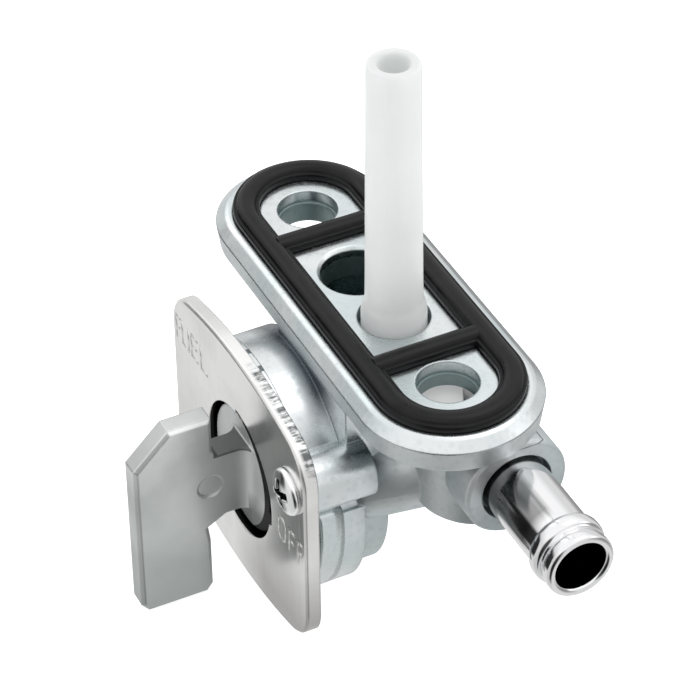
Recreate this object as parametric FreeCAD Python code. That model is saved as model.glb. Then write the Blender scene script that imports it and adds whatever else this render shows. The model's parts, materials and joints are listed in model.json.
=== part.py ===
import FreeCAD, Part
import math
import os

V = FreeCAD.Vector

# Tank flange
SPACING = 34.0
FLANGE_TOP_R = 10.35
FLANGE_DRAFT = 0.4
FLANGE_LOW_R = FLANGE_TOP_R - FLANGE_DRAFT
FLANGE_T = 4.0
RIM_DROP = 1.2
RIM_R = FLANGE_TOP_R - RIM_DROP
RIM_EDGE = 0.25
BOLT_R = 3.43
BOLT_STEP_Z = -1.55
BOLT_LEDGE = 0.23
BOLT_DEEP_R = BOLT_R - BOLT_LEDGE
BLIND_Z = -3.2
POCKET_Z = -5.0

# Ladder seal and its groove
RIM_LAND = 0.75
SEAL_W = 3.0
SEAL_OUT = RIM_R - RIM_LAND
SEAL_IN = SEAL_OUT - SEAL_W
SEAL_CROWN = 1.45
SEAL_LEDGE_H = 0.78
SEAL_LEDGE_W = 0.36
GROOVE_DEPTH = 1.0
GROOVE_GAP = 0.04
BAR_W = 2.8
BAR_FROM_BOLT = 6.6
BAR_IN = SPACING / 2 - BAR_FROM_BOLT
BAR_OUT = BAR_IN + BAR_W

# Fuel ports in the flange
PORT_LAND = 1.3
MAIN_X = 4.45
RESERVE_X = -4.48
RESERVE_R = SEAL_IN - PORT_LAND
RESERVE_LIP = 0.35
RESERVE_Z = -10.5
MAIN_POCKET_R = RESERVE_R - 0.07
MAIN_POCKET_Z = -2.0

# Standpipe
COLLAR_GAP = 0.38
COLLAR_R = MAIN_POCKET_R - COLLAR_GAP
COLLAR_Z = 1.3
SPIGOT_R = COLLAR_R - 0.95
SPIGOT_Z = -7.5
PIPE_TOP_Z = 33.0
PIPE_LOW_R = COLLAR_R - 0.5
PIPE_TOP_R = PIPE_LOW_R - 0.22
PIPE_BORE_R = 0.593 * SPIGOT_R
GALLERY_R = 0.741 * SPIGOT_R
FACE_PORT_R = 0.8 * GALLERY_R

# Valve axis runs along Y through (VALVE_X, VALVE_Z)
VALVE_X = 0.0
VALVE_Z = -18.8
PORT_RADIUS = 7.5
PORT_DZ = math.sqrt(PORT_RADIUS ** 2 - MAIN_X ** 2)
PORT_Z = VALVE_Z + PORT_DZ
CAVITY_LAND = 1.2
CAVITY_R = PORT_RADIUS + FACE_PORT_R + CAVITY_LAND
CAVITY_FLOOR_Y = -7.9
DRUM_WALL = 4.1
DRUM_R = CAVITY_R + DRUM_WALL
DRUM_PAD = 0.5
COLLAR_DRUM_R = DRUM_R + DRUM_PAD
RING_R = DRUM_R - 0.7
DRUM_FRONT_Y = -15.3
DRUM_STEP_Y = -8.7
DRUM_BACK_Y = -5.4
PAD_FRONT_Y = DRUM_FRONT_Y + 3.9
PAD_TOP_Z = VALVE_Z + 2.9

# Port block under the flange
WEB_LEFT = -4.0
WEB_RIGHT = 12.6
WEB_FRONT_Y = 0.05 - FLANGE_LOW_R
REAR_WALL = 1.6
REAR_LEFT = RESERVE_X - RESERVE_R - REAR_WALL
REAR_RIGHT = MAIN_X + RESERVE_R + 0.35
REAR_Y = RESERVE_R + REAR_WALL
REAR_LOW_Z = VALVE_Z - 0.8
REAR_CORNER = 2.0

# Valve packing, rotor and washer
PACKING_T = 2.2
PACKING_GAP = 0.05
FACE_GAP = 0.05
ROTOR_GAP = 0.08
ROTOR_BACK_Y = CAVITY_FLOOR_Y - PACKING_T - FACE_GAP
ROTOR_FRONT_Y = -13.7
ROTOR_R = CAVITY_R - ROTOR_GAP
SLOT_DEPTH = 1.0
SLOT_R = 0.2 * PORT_RADIUS
ORING_GAP = 0.05
ORING_CORD = 1.42
ORING_WALL = 0.5
ORING_GROOVE_R = ROTOR_R - ORING_CORD
ORING_GROOVE_W = ORING_CORD + 0.28
ORING_Y = ROTOR_FRONT_Y + ORING_WALL + ORING_GROOVE_W / 2
HUB_R = PORT_RADIUS
HUB_FRONT_Y = -16.3
WASHER_IN = HUB_R + 1.0
WASHER_OUT = CAVITY_R - 0.3
WASHER_T = 0.35
WASHER_GAP = 0.08
WASHER_WAVE = (ROTOR_FRONT_Y - DRUM_FRONT_Y - WASHER_T) / 2 - WASHER_GAP

# Stop notch in the hub
NOTCH_R = HUB_R - 1.0
NOTCH_FROM = -14.0
NOTCH_TO = 97.0

# Grip blade
BLADE_T = 2.9
BLADE_EDGE = 0.4
BLADE_OUT_Y = -29.95
BLADE_IN_Y = -21.2
BLADE_HORN_Y = -20.6
BLADE_TOP_Z = -9.15
BLADE_LOW_Z = -34.1
BLADE_BEVEL = 4.25
TANG_ROOT_Y = HUB_FRONT_Y + 0.8
TANG_HALF = 0.58 * HUB_R
TANG_TOP_Z = VALVE_Z + TANG_HALF + 0.05
TANG_LOW_Z = VALVE_Z - TANG_HALF + 0.05
HUB_FILLET = 0.213 * HUB_R
DIMPLE_R = 1.5
DIMPLE_DEPTH = 0.25
DIMPLE_Y = BLADE_IN_Y + 0.1

# Face plate
PLATE_T = 1.7
PLATE_FRONT_Y = DRUM_FRONT_Y - PLATE_T
PLATE_HALF_W = 17.0
PLATE_SIDE_Z = 12.6
PLATE_MID_Z = 15.2
PLATE_CZ = -18.2
PLATE_CORNER = 5.0
PLATE_EDGE = 0.25
WINDOW_R = HUB_R + 0.5
WINDOW_WIDE_R = HUB_R + 1.0
WINDOW_FROM = -14.0
WINDOW_TO = 92.0
TAB_FROM = 79.0
TAB_TO = 94.0
TAB_IN = NOTCH_R + 0.45
TAB_FRONT_Y = PLATE_FRONT_Y + 0.6
TAB_BACK_Y = DRUM_FRONT_Y + 0.9

# Plate screws
SCREW_X = 13.3
SCREW_DZ = 7.4
SCREW_R = 1.5
SCREW_HOLE_GAP = 0.03
SCREW_LEN = 7.5
SCREW_HOLE_Y = PLATE_FRONT_Y + SCREW_LEN + 0.3
PLATE_HOLE_R = SCREW_R + 0.2
HEAD_R = 2.7
HEAD_H = 1.85
HEAD_SLOT = 0.6
LUG_R = 3.2
LUG_BACK_Y = -8.0

# Outlet: boss, elbow, neck and pressed spigot
OUT_Y = 3.6
OUT_Z = -9.1
BOSS_R = 6.0
BOSS_FACE_X = 26.0
BOSS_BACK_X = 12.5
BOSS_EDGE = 0.35
TUBE_R = 3.72
SOCKET_R = TUBE_R
SOCKET_X = 21.0
RELIEF_R = TUBE_R + 0.44
RELIEF_DEPTH = 1.8
OUT_BORE_R = 2.9
TUBE_TIP_X = 40.0
BEAD_R = TUBE_R + 0.5
BEAD_X = TUBE_TIP_X - 3.9
BEAD_HALF = 0.8
ELBOW_X = 17.4
ELBOW_Y = 3.2
ELBOW_R = 6.7
ELBOW_LOW_Z = -15.6
ELBOW_TOP_Z = OUT_Z + 3.1
ELBOW_EDGE = 0.5
ELBOW_BORE_R = 2.2
NECK_FROM = (10.2, -6.4, -15.7)
NECK_TO = (17.0, 3.0, -12.2)
NECK_R1 = 4.9
NECK_R2 = 3.8
OUTLET_TURN_Z = -12.5


def rod(radius, start, end):
    """Round bar between two points."""
    a = V(*start)
    b = V(*end)
    return Part.makeCylinder(radius, (b - a).Length, a, b - a)


def taper(radius_a, radius_b, start, end):
    """Cone frustum between two points."""
    a = V(*start)
    b = V(*end)
    return Part.makeCone(radius_a, radius_b, (b - a).Length, a, b - a)


def block(low, high):
    """Box between two opposite corners."""
    return Part.makeBox(high[0] - low[0], high[1] - low[1], high[2] - low[2], V(*low))


def valve_rod(radius, y0, y1, x=0.0, dz=0.0):
    """Round bar along Y, placed from the valve axis."""
    return rod(radius, (VALVE_X + x, y0, VALVE_Z + dz), (VALVE_X + x, y1, VALVE_Z + dz))


def half_round(radius_a, radius_b, z0, z1):
    """Half of a cylinder or cone frustum about Z, lying on the +X side."""
    if radius_a == radius_b:
        shape = Part.makeCylinder(radius_a, z1 - z0, V(0, 0, z0), V(0, 0, 1), 180)
    else:
        shape = Part.makeCone(radius_a, radius_b, z1 - z0, V(0, 0, z0), V(0, 0, 1), 180)
    shape.rotate(V(0, 0, 0), V(0, 0, 1), -90)
    return shape


def stadium(half, low, high):
    """Solid with two round ends and flat sides, from (radius, z) below to (radius, z) above."""
    (r0, z0), (r1, z1) = low, high
    points = [V(-half, -r0, z0), V(-half, r0, z0), V(-half, r1, z1), V(-half, -r1, z1)]
    middle = Part.Face(Part.makePolygon(points + points[:1])).extrude(V(2 * half, 0, 0))
    right = half_round(r0, r1, z0, z1)
    left = right.copy()
    left.rotate(V(0, 0, 0), V(0, 0, 1), 180)
    right.translate(V(half, 0, 0))
    left.translate(V(-half, 0, 0))
    return middle.multiFuse([left, right]).removeSplitter()


def revolve_x(points, y, z):
    """Turn an (x, radius) outline about an axis along X."""
    path = [V(x, y, z + radius) for x, radius in points]
    face = Part.Face(Part.makePolygon(path + path[:1]))
    return face.revolve(V(0, y, z), V(1, 0, 0), 360)


def revolve_z(points, x, y):
    """Turn a (radius, z) outline about an axis along Z."""
    path = [V(x + radius, y, z) for radius, z in points]
    face = Part.Face(Part.makePolygon(path + path[:1]))
    return face.revolve(V(x, y, 0), V(0, 0, 1), 360)


def revolve_y(points, x, z):
    """Turn a (radius, y) outline about an axis along Y."""
    path = [V(x + radius, y, z) for radius, y in points]
    face = Part.Face(Part.makePolygon(path + path[:1]))
    return face.revolve(V(x, 0, z), V(0, 1, 0), 360)


def polar(radius, degrees, y):
    """Point at an angle about the valve axis, counted from +X towards +Z."""
    a = math.radians(degrees)
    return V(VALVE_X + radius * math.cos(a), y, VALVE_Z + radius * math.sin(a))


def sector(inner, outer, start, end, y0, y1):
    """Solid ring sector about the valve axis."""
    mid = (start + end) / 2
    edges = [
        Part.Arc(polar(outer, start, y0), polar(outer, mid, y0), polar(outer, end, y0)).toShape(),
        Part.makeLine(polar(outer, end, y0), polar(inner, end, y0)),
        Part.Arc(polar(inner, end, y0), polar(inner, mid, y0), polar(inner, start, y0)).toShape(),
        Part.makeLine(polar(inner, start, y0), polar(outer, start, y0)),
    ]
    return Part.Face(Part.Wire(edges)).extrude(V(0, y1 - y0, 0))


def round_edges(shape, radius, chosen):
    """Fillet the edges that the test picks."""
    edges = [e for e in shape.Edges if chosen(e)]
    return shape.makeFillet(radius, edges)


def break_edges(shape, size, chosen):
    """Chamfer the edges that the test picks."""
    edges = [e for e in shape.Edges if chosen(e)]
    return shape.makeChamfer(size, edges)


def ring_at_y(y):
    """Test for full circles that lie at one place along the valve axis."""
    return lambda e: e.Closed and abs(e.Vertexes[0].Y - y) < 1e-4


def edge_at_z(z):
    """Test for edges that lie wholly at one height."""
    return lambda e: all(abs(v.Z - z) < 1e-4 for v in e.Vertexes)


def flange():
    """Flange plate with drafted wall and sloping rim."""
    half = SPACING / 2
    wall = stadium(half, (FLANGE_LOW_R, -FLANGE_T), (FLANGE_TOP_R, -RIM_DROP))
    wall = break_edges(wall, 0.3, edge_at_z(-FLANGE_T))
    rim = stadium(half, (FLANGE_TOP_R, -RIM_DROP), (RIM_R, 0))
    rim = break_edges(rim, RIM_EDGE, edge_at_z(0))
    return wall.fuse(rim)


def crown_outline(half):
    """Rubber section as (across, height): flat foot, a ledge at each side and a rounded crown between."""
    edge = half - SEAL_LEDGE_W
    rise = SEAL_CROWN - SEAL_LEDGE_H
    points = [(-half, -GROOVE_DEPTH), (half, -GROOVE_DEPTH), (half, SEAL_LEDGE_H), (edge, SEAL_LEDGE_H)]
    for degrees in (40, 65, 90, 115, 140):
        a = math.radians(degrees)
        points.append((edge * math.cos(a) / math.cos(math.radians(25)), SEAL_LEDGE_H + rise * math.sin(a)))
    return points + [(-edge, SEAL_LEDGE_H), (-half, SEAL_LEDGE_H)]


def rail_face(side, x=0.0):
    """Rail section standing in a plane across the rail."""
    mid = side * (SEAL_IN + SEAL_OUT) / 2
    path = [V(x, mid + across, height) for across, height in crown_outline(SEAL_W / 2)]
    return Part.Face(Part.makePolygon(path + path[:1]))


def seal_bar(sign):
    """Crossbar carried straight between the two rails."""
    mid = sign * (BAR_IN + BAR_OUT) / 2
    reach = SEAL_IN + 0.3
    path = [V(mid + across, -reach, height) for across, height in crown_outline(BAR_W / 2)]
    return Part.Face(Part.makePolygon(path + path[:1])).extrude(V(0, 2 * reach, 0))


def flange_seal():
    """Ladder seal: two rails, two round ends and two crossbars in one piece."""
    half = SPACING / 2
    pieces = []
    for side in (-1, 1):
        pieces.append(rail_face(side, -half).extrude(V(SPACING, 0, 0)))
    for sign in (-1, 1):
        face = rail_face(-sign, sign * half)
        pieces.append(face.revolve(V(sign * half, 0, 0), V(0, 0, 1), 180))
        pieces.append(seal_bar(sign))
    return pieces[0].multiFuse(pieces[1:]).removeSplitter()


def seal_groove():
    """Groove cutter: the seal's plan with a small gap on every side."""
    half = SPACING / 2
    low = -GROOVE_DEPTH - 0.02
    gap = GROOVE_GAP
    outer = stadium(half, (SEAL_OUT + gap, low), (SEAL_OUT + gap, 2))
    inner = stadium(half, (SEAL_IN - gap, low - 1), (SEAL_IN - gap, 3))
    cut = outer.cut(inner)
    for sign in (-1, 1):
        a = min(sign * BAR_IN, sign * BAR_OUT) - gap
        b = max(sign * BAR_IN, sign * BAR_OUT) + gap
        cut = cut.fuse(block((a, -SEAL_IN - 0.4, low), (b, SEAL_IN + 0.4, 2)))
    return cut


def lug(sign):
    """Screw lug beside the drum, tied in towards the valve axis."""
    x = sign * SCREW_X
    dz = sign * SCREW_DZ
    post = valve_rod(LUG_R, DRUM_FRONT_Y, LUG_BACK_Y, x, dz)
    length = math.hypot(x, dz)
    web = block((0, DRUM_FRONT_Y, -LUG_R), (length, LUG_BACK_Y - 0.5, LUG_R))
    web.rotate(V(0, 0, 0), V(0, 1, 0), -math.degrees(math.atan2(dz, x)))
    web.translate(V(VALVE_X, 0, VALVE_Z))
    return post.fuse(web)


def drum():
    """Valve drum with front collar, raised side pad, back ring and two screw lugs."""
    main = valve_rod(DRUM_R, DRUM_FRONT_Y, DRUM_STEP_Y)
    collar = valve_rod(COLLAR_DRUM_R, DRUM_FRONT_Y, DRUM_FRONT_Y + 0.9)
    pad = valve_rod(COLLAR_DRUM_R, PAD_FRONT_Y, DRUM_STEP_Y)
    reach = COLLAR_DRUM_R + 1
    keep = block((-reach, PAD_FRONT_Y - 1, VALVE_Z - reach), (reach, 0, PAD_TOP_Z))
    ring = valve_rod(RING_R, DRUM_STEP_Y - 0.5, DRUM_BACK_Y)
    return main.multiFuse([collar, pad.common(keep), ring, lug(1), lug(-1)])


def port_block():
    """Casting under the flange that holds the two fuel passages."""
    top = -FLANGE_T + 0.5
    front = block((WEB_LEFT, WEB_FRONT_Y, VALVE_Z), (WEB_RIGHT, DRUM_BACK_Y, top))
    rear = block((REAR_LEFT, DRUM_BACK_Y - 1, REAR_LOW_Z), (REAR_RIGHT, REAR_Y, top))
    upright = lambda e: e.BoundBox.YMin > 0 and e.BoundBox.XLength < 0.01
    rear = round_edges(rear, REAR_CORNER, upright)
    return front.fuse(rear)


def outlet_body():
    """Neck, elbow and outlet boss."""
    neck = taper(NECK_R1, NECK_R2, NECK_FROM, NECK_TO)
    elbow = rod(ELBOW_R, (ELBOW_X, ELBOW_Y, ELBOW_LOW_Z), (ELBOW_X, ELBOW_Y, ELBOW_TOP_Z))
    elbow = break_edges(elbow, ELBOW_EDGE, lambda e: e.Closed and abs(e.Vertexes[0].Z - ELBOW_LOW_Z) < 1e-4)
    boss = rod(BOSS_R, (BOSS_BACK_X, OUT_Y, OUT_Z), (BOSS_FACE_X, OUT_Y, OUT_Z))
    boss = break_edges(boss, BOSS_EDGE, lambda e: e.Closed and abs(e.Vertexes[0].X - BOSS_FACE_X) < 1e-4)
    return neck.multiFuse([elbow, boss])


def passages():
    """Bores: bolt holes, fuel ports, galleries, valve cavity, outlet and screw holes."""
    half = SPACING / 2
    cuts = []
    for sign, floor in ((-1, -FLANGE_T - 5), (1, BLIND_Z)):
        x = sign * half
        cuts.append(rod(BOLT_R, (x, 0, BOLT_STEP_Z), (x, 0, 1)))
        cuts.append(rod(BOLT_DEEP_R, (x, 0, floor), (x, 0, BOLT_STEP_Z)))
    cuts.append(bolt_pocket(half))
    cuts.append(rod(MAIN_POCKET_R, (MAIN_X, 0, MAIN_POCKET_Z), (MAIN_X, 0, 1)))
    cuts.append(rod(SPIGOT_R, (MAIN_X, 0, SPIGOT_Z), (MAIN_X, 0, 0)))
    cuts.append(rod(GALLERY_R, (MAIN_X, 0, PORT_Z - 0.4), (MAIN_X, 0, 0)))
    cuts.append(rod(RESERVE_R, (RESERVE_X, 0, RESERVE_Z), (RESERVE_X, 0, 1)))
    lip = RESERVE_LIP
    cuts.append(taper(RESERVE_R, RESERVE_R + lip + 0.2, (RESERVE_X, 0, -lip), (RESERVE_X, 0, 0.2)))
    cuts.append(rod(GALLERY_R, (RESERVE_X, 0, PORT_Z - 0.4), (RESERVE_X, 0, 0)))
    for x in (MAIN_X, RESERVE_X):
        cuts.append(rod(FACE_PORT_R, (x, CAVITY_FLOOR_Y - 1, PORT_Z), (x, 0, PORT_Z)))
    cuts.append(valve_rod(CAVITY_R, DRUM_FRONT_Y - 1, CAVITY_FLOOR_Y))
    turn = (ELBOW_X, OUT_Y, OUTLET_TURN_Z)
    cuts.append(rod(FACE_PORT_R, (VALVE_X, CAVITY_FLOOR_Y - 0.8, VALVE_Z), turn))
    cuts.append(rod(ELBOW_BORE_R, turn, (ELBOW_X, OUT_Y, OUT_Z)))
    cuts.append(rod(OUT_BORE_R - 0.3, (ELBOW_X - 1.5, OUT_Y, OUT_Z), (BOSS_FACE_X, OUT_Y, OUT_Z)))
    cuts.append(rod(SOCKET_R, (SOCKET_X, OUT_Y, OUT_Z), (BOSS_FACE_X + 1, OUT_Y, OUT_Z)))
    relief_x = BOSS_FACE_X - RELIEF_DEPTH
    cuts.append(rod(RELIEF_R, (relief_x, OUT_Y, OUT_Z), (BOSS_FACE_X + 1, OUT_Y, OUT_Z)))
    for sign in (-1, 1):
        hole = SCREW_R + SCREW_HOLE_GAP
        cuts.append(valve_rod(hole, DRUM_FRONT_Y - 1, SCREW_HOLE_Y, sign * SCREW_X, sign * SCREW_DZ))
    return cuts


def bolt_pocket(x):
    """Deeper core left in the rear part of the outlet side's bolt hole."""
    core = rod(BOLT_DEEP_R, (x, 0, POCKET_Z), (x, 0, BLIND_Z + 0.2))
    reach = 2.5 * BOLT_DEEP_R
    keep = block((-reach, 0, POCKET_Z - 1), (reach, reach, 1))
    keep.rotate(V(0, 0, 0), V(0, 0, 1), -25)
    keep.translate(V(x + 0.75, 1.55, 0))
    return core.common(keep)


def body_casting():
    """One-piece die casting."""
    solid = flange().cut(seal_groove())
    for piece in (port_block(), drum(), outlet_body()):
        solid = solid.fuse(piece)
    for tool in passages():
        solid = solid.cut(tool)
    return solid


def standpipe():
    """Plastic pipe with a collar above and a spigot below the flange face."""
    low = MAIN_POCKET_Z + 0.02
    points = [
        (PIPE_BORE_R, SPIGOT_Z), (SPIGOT_R, SPIGOT_Z), (SPIGOT_R, low), (COLLAR_R, low),
        (COLLAR_R, COLLAR_Z), (PIPE_LOW_R + 0.15, COLLAR_Z + 0.7), (PIPE_LOW_R, COLLAR_Z + 1.6),
        (PIPE_TOP_R, PIPE_TOP_Z - 0.35), (PIPE_TOP_R - 0.35, PIPE_TOP_Z), (PIPE_BORE_R, PIPE_TOP_Z),
    ]
    return revolve_z(points, MAIN_X, 0)


def outlet_pipe():
    """Hose spigot: pressed end, plain tube, bead, neck and rounded tip."""
    start = SOCKET_X + 0.02
    tip = TUBE_TIP_X
    low = BEAD_X - BEAD_HALF
    high = BEAD_X + BEAD_HALF
    points = [
        (start, OUT_BORE_R), (start, TUBE_R), (low - 0.5, TUBE_R), (low, BEAD_R), (high, BEAD_R),
        (high + 0.6, TUBE_R + 0.05), (tip - 1.5, TUBE_R + 0.05), (tip - 1.2, TUBE_R + 0.2),
        (tip - 0.55, TUBE_R + 0.2), (tip, TUBE_R - 0.3), (tip, OUT_BORE_R),
    ]
    return revolve_x(points, OUT_Y, OUT_Z)


def plate_outline():
    """Plate face: straight sides, gently bowed top and bottom, round corners."""
    w = PLATE_HALF_W
    y = PLATE_FRONT_Y
    top = Part.Arc(V(w, y, PLATE_SIDE_Z), V(0, y, PLATE_MID_Z), V(-w, y, PLATE_SIDE_Z)).toShape()
    low = Part.Arc(V(-w, y, -PLATE_SIDE_Z), V(0, y, -PLATE_MID_Z), V(w, y, -PLATE_SIDE_Z)).toShape()
    left = Part.makeLine(V(-w, y, PLATE_SIDE_Z), V(-w, y, -PLATE_SIDE_Z))
    right = Part.makeLine(V(w, y, -PLATE_SIDE_Z), V(w, y, PLATE_SIDE_Z))
    face = Part.Face(Part.Wire([top, left, low, right]))
    face.translate(V(0, 0, PLATE_CZ))
    return face


def face_plate():
    """Stamped plate with stepped window, stop tab and screw holes."""
    plate = plate_outline().extrude(V(0, PLATE_T, 0))
    plate = round_edges(plate, PLATE_CORNER, lambda e: abs(e.Vertexes[0].Y - e.Vertexes[-1].Y) > PLATE_T / 2)
    plate = break_edges(plate, PLATE_EDGE, lambda e: all(abs(v.Y - PLATE_FRONT_Y) < 1e-4 for v in e.Vertexes))
    window = valve_rod(WINDOW_R, PLATE_FRONT_Y - 1, DRUM_FRONT_Y + 1)
    wide = sector(WINDOW_R / 2, WINDOW_WIDE_R, WINDOW_FROM, WINDOW_TO, PLATE_FRONT_Y - 1, DRUM_FRONT_Y + 1)
    plate = plate.cut(window.fuse(wide))
    tab = sector(TAB_IN, WINDOW_WIDE_R + 0.2, TAB_FROM, TAB_TO, TAB_FRONT_Y, DRUM_FRONT_Y)
    bent = sector(TAB_IN, WINDOW_R + 0.1, TAB_FROM, TAB_TO, TAB_FRONT_Y, TAB_BACK_Y)
    plate = plate.multiFuse([tab, bent])
    for sign in (-1, 1):
        hole = valve_rod(PLATE_HOLE_R, PLATE_FRONT_Y - 1, DRUM_FRONT_Y + 1, sign * SCREW_X, sign * SCREW_DZ)
        plate = plate.cut(hole)
    return plate


def blade():
    """Flat grip blade: outline in the YZ plane, with bevelled corners and a heel below the tang."""
    out = BLADE_OUT_Y
    inner = BLADE_IN_Y
    horn = BLADE_HORN_Y
    top = BLADE_TOP_Z
    low = BLADE_LOW_Z
    corners = [
        (out + BLADE_BEVEL, top), (horn, top), (horn, TANG_TOP_Z + 0.5), (horn + 0.5, TANG_TOP_Z),
        (TANG_ROOT_Y, TANG_TOP_Z), (TANG_ROOT_Y, TANG_LOW_Z), (inner + 1.8, TANG_LOW_Z),
        (inner - 0.3, TANG_LOW_Z - 1.2), (inner, TANG_LOW_Z - 3.5), (inner, low + 0.9), (inner - 0.7, low),
        (out + 0.9, low), (out, low + 1.1), (out, top - BLADE_BEVEL),
    ]
    path = [V(-BLADE_T / 2, y, z) for y, z in corners]
    sheet = Part.Face(Part.makePolygon(path + path[:1])).extrude(V(BLADE_T, 0, 0))
    return break_edges(sheet, BLADE_EDGE, flat_side_edge)


def flat_side_edge(edge):
    """Edges round the outer end of the blade, on its flat sides."""
    on_side = abs(edge.Vertexes[0].X - edge.Vertexes[-1].X) < 0.01
    return on_side and max(v.Y for v in edge.Vertexes) < BLADE_HORN_Y + 0.01


def rotor_slot(degrees):
    """Radial flow slot in the back of the rotor, open to the centre."""
    deep = ROTOR_BACK_Y - SLOT_DEPTH
    slot = block((0, deep, -SLOT_R), (PORT_RADIUS, ROTOR_BACK_Y + 0.5, SLOT_R))
    end = rod(SLOT_R, (PORT_RADIUS, deep, 0), (PORT_RADIUS, ROTOR_BACK_Y + 0.5, 0))
    slot = slot.fuse(end)
    slot.rotate(V(0, 0, 0), V(0, 1, 0), -degrees)
    slot.translate(V(VALVE_X, 0, VALVE_Z))
    return slot


def lever():
    """One casting: blade, hub with stop notch, and rotor with o-ring groove and flow slots."""
    hub = valve_rod(HUB_R, HUB_FRONT_Y, ROTOR_FRONT_Y)
    hub = break_edges(hub, 0.2, ring_at_y(HUB_FRONT_Y))
    hub = hub.cut(sector(NOTCH_R, HUB_R + 1.5, NOTCH_FROM, NOTCH_TO, HUB_FRONT_Y - 1, ROTOR_FRONT_Y))
    grip = hub.fuse(blade())
    grip = round_edges(grip, HUB_FILLET, hub_joint)
    rotor = valve_rod(ROTOR_R, ROTOR_FRONT_Y, ROTOR_BACK_Y)
    groove = valve_rod(ROTOR_R + 2, ORING_Y - ORING_GROOVE_W / 2, ORING_Y + ORING_GROOVE_W / 2)
    groove = groove.cut(valve_rod(ORING_GROOVE_R, DRUM_FRONT_Y, CAVITY_FLOOR_Y))
    rotor = rotor.cut(groove)
    port_angle = math.degrees(math.asin(PORT_DZ / PORT_RADIUS))
    solid = grip.fuse(rotor)
    for degrees in (port_angle - 45, 180 - port_angle):
        solid = solid.cut(rotor_slot(degrees))
    z = (TANG_TOP_Z + TANG_LOW_Z) / 2 + 0.15
    dent = rod(DIMPLE_R, (BLADE_T / 2 - DIMPLE_DEPTH, DIMPLE_Y, z), (BLADE_T, DIMPLE_Y, z))
    return solid.cut(dent)


def hub_joint(edge):
    """Long edges where the tang meets the hub's front face."""
    on_face = all(abs(v.Y - HUB_FRONT_Y) < 1e-4 for v in edge.Vertexes)
    on_side = all(abs(abs(v.X) - BLADE_T / 2) < 1e-3 for v in edge.Vertexes)
    return on_face and on_side and edge.Length > TANG_HALF


def valve_packing():
    """Rubber disc with a centre port, a main port and a reserve port."""
    disc = valve_rod(CAVITY_R - PACKING_GAP, CAVITY_FLOOR_Y - PACKING_T, CAVITY_FLOOR_Y)
    y0 = CAVITY_FLOOR_Y - PACKING_T - 1
    disc = disc.cut(valve_rod(FACE_PORT_R + 0.2, y0, CAVITY_FLOOR_Y + 1))
    for x in (MAIN_X, RESERVE_X):
        disc = disc.cut(valve_rod(FACE_PORT_R, y0, CAVITY_FLOOR_Y + 1, x, PORT_DZ))
    return disc


def rotor_o_ring():
    """O-ring just clear of the cavity wall: a six-sided section turned about the valve axis."""
    inner = ORING_GROOVE_R + 0.01
    outer = CAVITY_R - ORING_GAP
    r = (outer - inner) / 2 / math.cos(math.pi / 6)
    points = []
    for i in range(6):
        a = (i + 0.5) * math.pi / 3
        points.append(((inner + outer) / 2 + r * math.cos(a), ORING_Y + r * math.sin(a)))
    return revolve_y(points, VALVE_X, VALVE_Z)


def wave_washer():
    """Three-wave spring washer: a closed skin of flat triangles whose height is a cosine of the angle."""
    count = 48
    mid_y = (ROTOR_FRONT_Y + DRUM_FRONT_Y) / 2
    rings = []
    for radius, dy in ((WASHER_IN, -1), (WASHER_OUT, -1), (WASHER_OUT, 1), (WASHER_IN, 1)):
        ring = []
        for i in range(count):
            degrees = 360.0 * i / count
            wave = WASHER_WAVE * math.cos(math.radians(3 * degrees))
            ring.append(polar(radius, degrees, mid_y + wave + dy * WASHER_T / 2))
        rings.append(ring)
    faces = []
    for a, b in zip(rings, rings[1:] + rings[:1]):
        for i in range(count):
            j = (i + 1) % count
            faces.append(Part.Face(Part.makePolygon([a[i], a[j], b[i], a[i]])))
            faces.append(Part.Face(Part.makePolygon([a[j], b[j], b[i], a[j]])))
    shell = Part.makeShell(faces)
    shell.sewShape()
    solid = Part.Solid(shell)
    if solid.Volume < 0:
        solid.reverse()
    return solid


def plate_screw(sign):
    """Pan-head screw with a cross recess."""
    x = sign * SCREW_X
    z = VALVE_Z + sign * SCREW_DZ
    y = PLATE_FRONT_Y
    end = y + SCREW_LEN
    points = [
        (0, end), (SCREW_R, end), (SCREW_R, y), (HEAD_R, y), (HEAD_R, y - 0.5),
        (HEAD_R - 0.3, y - 1.05), (HEAD_R - 1.0, y - 1.55), (0, y - HEAD_H),
    ]
    screw = revolve_y(points, x, z)
    arms = []
    reach = 0.55 * HEAD_R
    for turn in (25, 115):
        arm = block((-reach, -HEAD_H - 0.2, -HEAD_SLOT / 2), (reach, -0.4 * HEAD_H, HEAD_SLOT / 2))
        arm.rotate(V(0, 0, 0), V(0, 1, 0), -turn)
        arm.translate(V(x, y, z))
        arms.append(arm)
    return screw.cut(arms[0].fuse(arms[1]))


def main():
    os.makedirs("parts", exist_ok=True)
    parts = {
        "body_casting": body_casting(),
        "flange_seal": flange_seal(),
        "standpipe": standpipe(),
        "outlet_pipe": outlet_pipe(),
        "face_plate": face_plate(),
        "lever": lever(),
        "valve_packing": valve_packing(),
        "rotor_o_ring": rotor_o_ring(),
        "wave_washer": wave_washer(),
        "plate_screws": Part.makeCompound([plate_screw(1), plate_screw(-1)]),
    }
    for name, shape in parts.items():
        box = shape.BoundBox
        print(name, "solids", len(shape.Solids), "valid", shape.isValid(), "volume", round(shape.Volume, 1),
              "box", [round(v, 2) for v in (box.XMin, box.YMin, box.ZMin, box.XMax, box.YMax, box.ZMax)])
        shape.exportStep("parts/" + name + ".step")


main()
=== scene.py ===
import json
import bpy
import numpy as np
from mathutils import Matrix, Vector


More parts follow.
